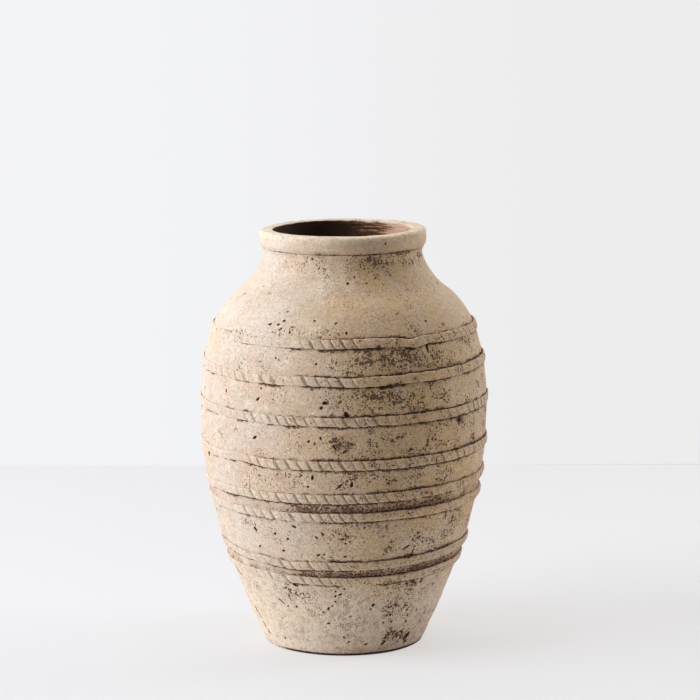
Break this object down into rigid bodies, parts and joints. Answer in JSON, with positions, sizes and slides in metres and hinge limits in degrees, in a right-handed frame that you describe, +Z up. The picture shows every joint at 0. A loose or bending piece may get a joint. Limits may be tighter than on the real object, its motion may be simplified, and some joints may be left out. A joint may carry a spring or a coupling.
{
  "type": "pithos jar",
  "caption": "Hand-built unglazed clay pithos with a flat foot, swelling belly, short neck, thick rolled lip and notched rope bands pressed over the joins of its courses.",
  "frame": {"origin": "middle of the foot, on the surface that the jar stands on", "axes": "+Z up along the jar's axis of turning, +X to the right and -Y towards the viewer of the picture"},
  "size_m": [0.292, 0.292, 0.4218],
  "materials": {
    "wall_clay": "unglazed, weathered, pitted",
    "rope_clay": "unglazed, rubbed on the crests, dark in the notches",
    "lip_clay": "unglazed, wiped smooth",
    "foot_clay": "unglazed, rough"
  },
  "bodies": {
    "root": {"base_slab": "foot_clay", "foot_course": "wall_clay", "lower_belly_course": "wall_clay", "middle_belly_course": "wall_clay", "upper_belly_course": "wall_clay", "lower_shoulder_course": "wall_clay", "middle_shoulder_course": "wall_clay", "upper_shoulder_course": "wall_clay", "neck_ring": "lip_clay", "lip_ring": "lip_clay", "rope_band_1": "rope_clay", "rope_band_2": "rope_clay", "rope_band_3": "rope_clay", "rope_band_4": "rope_clay", "rope_band_5": "rope_clay", "rope_band_6": "rope_clay", "rope_band_7": "rope_clay", "rope_band_8": "rope_clay"}
  },
  "joints": []
}
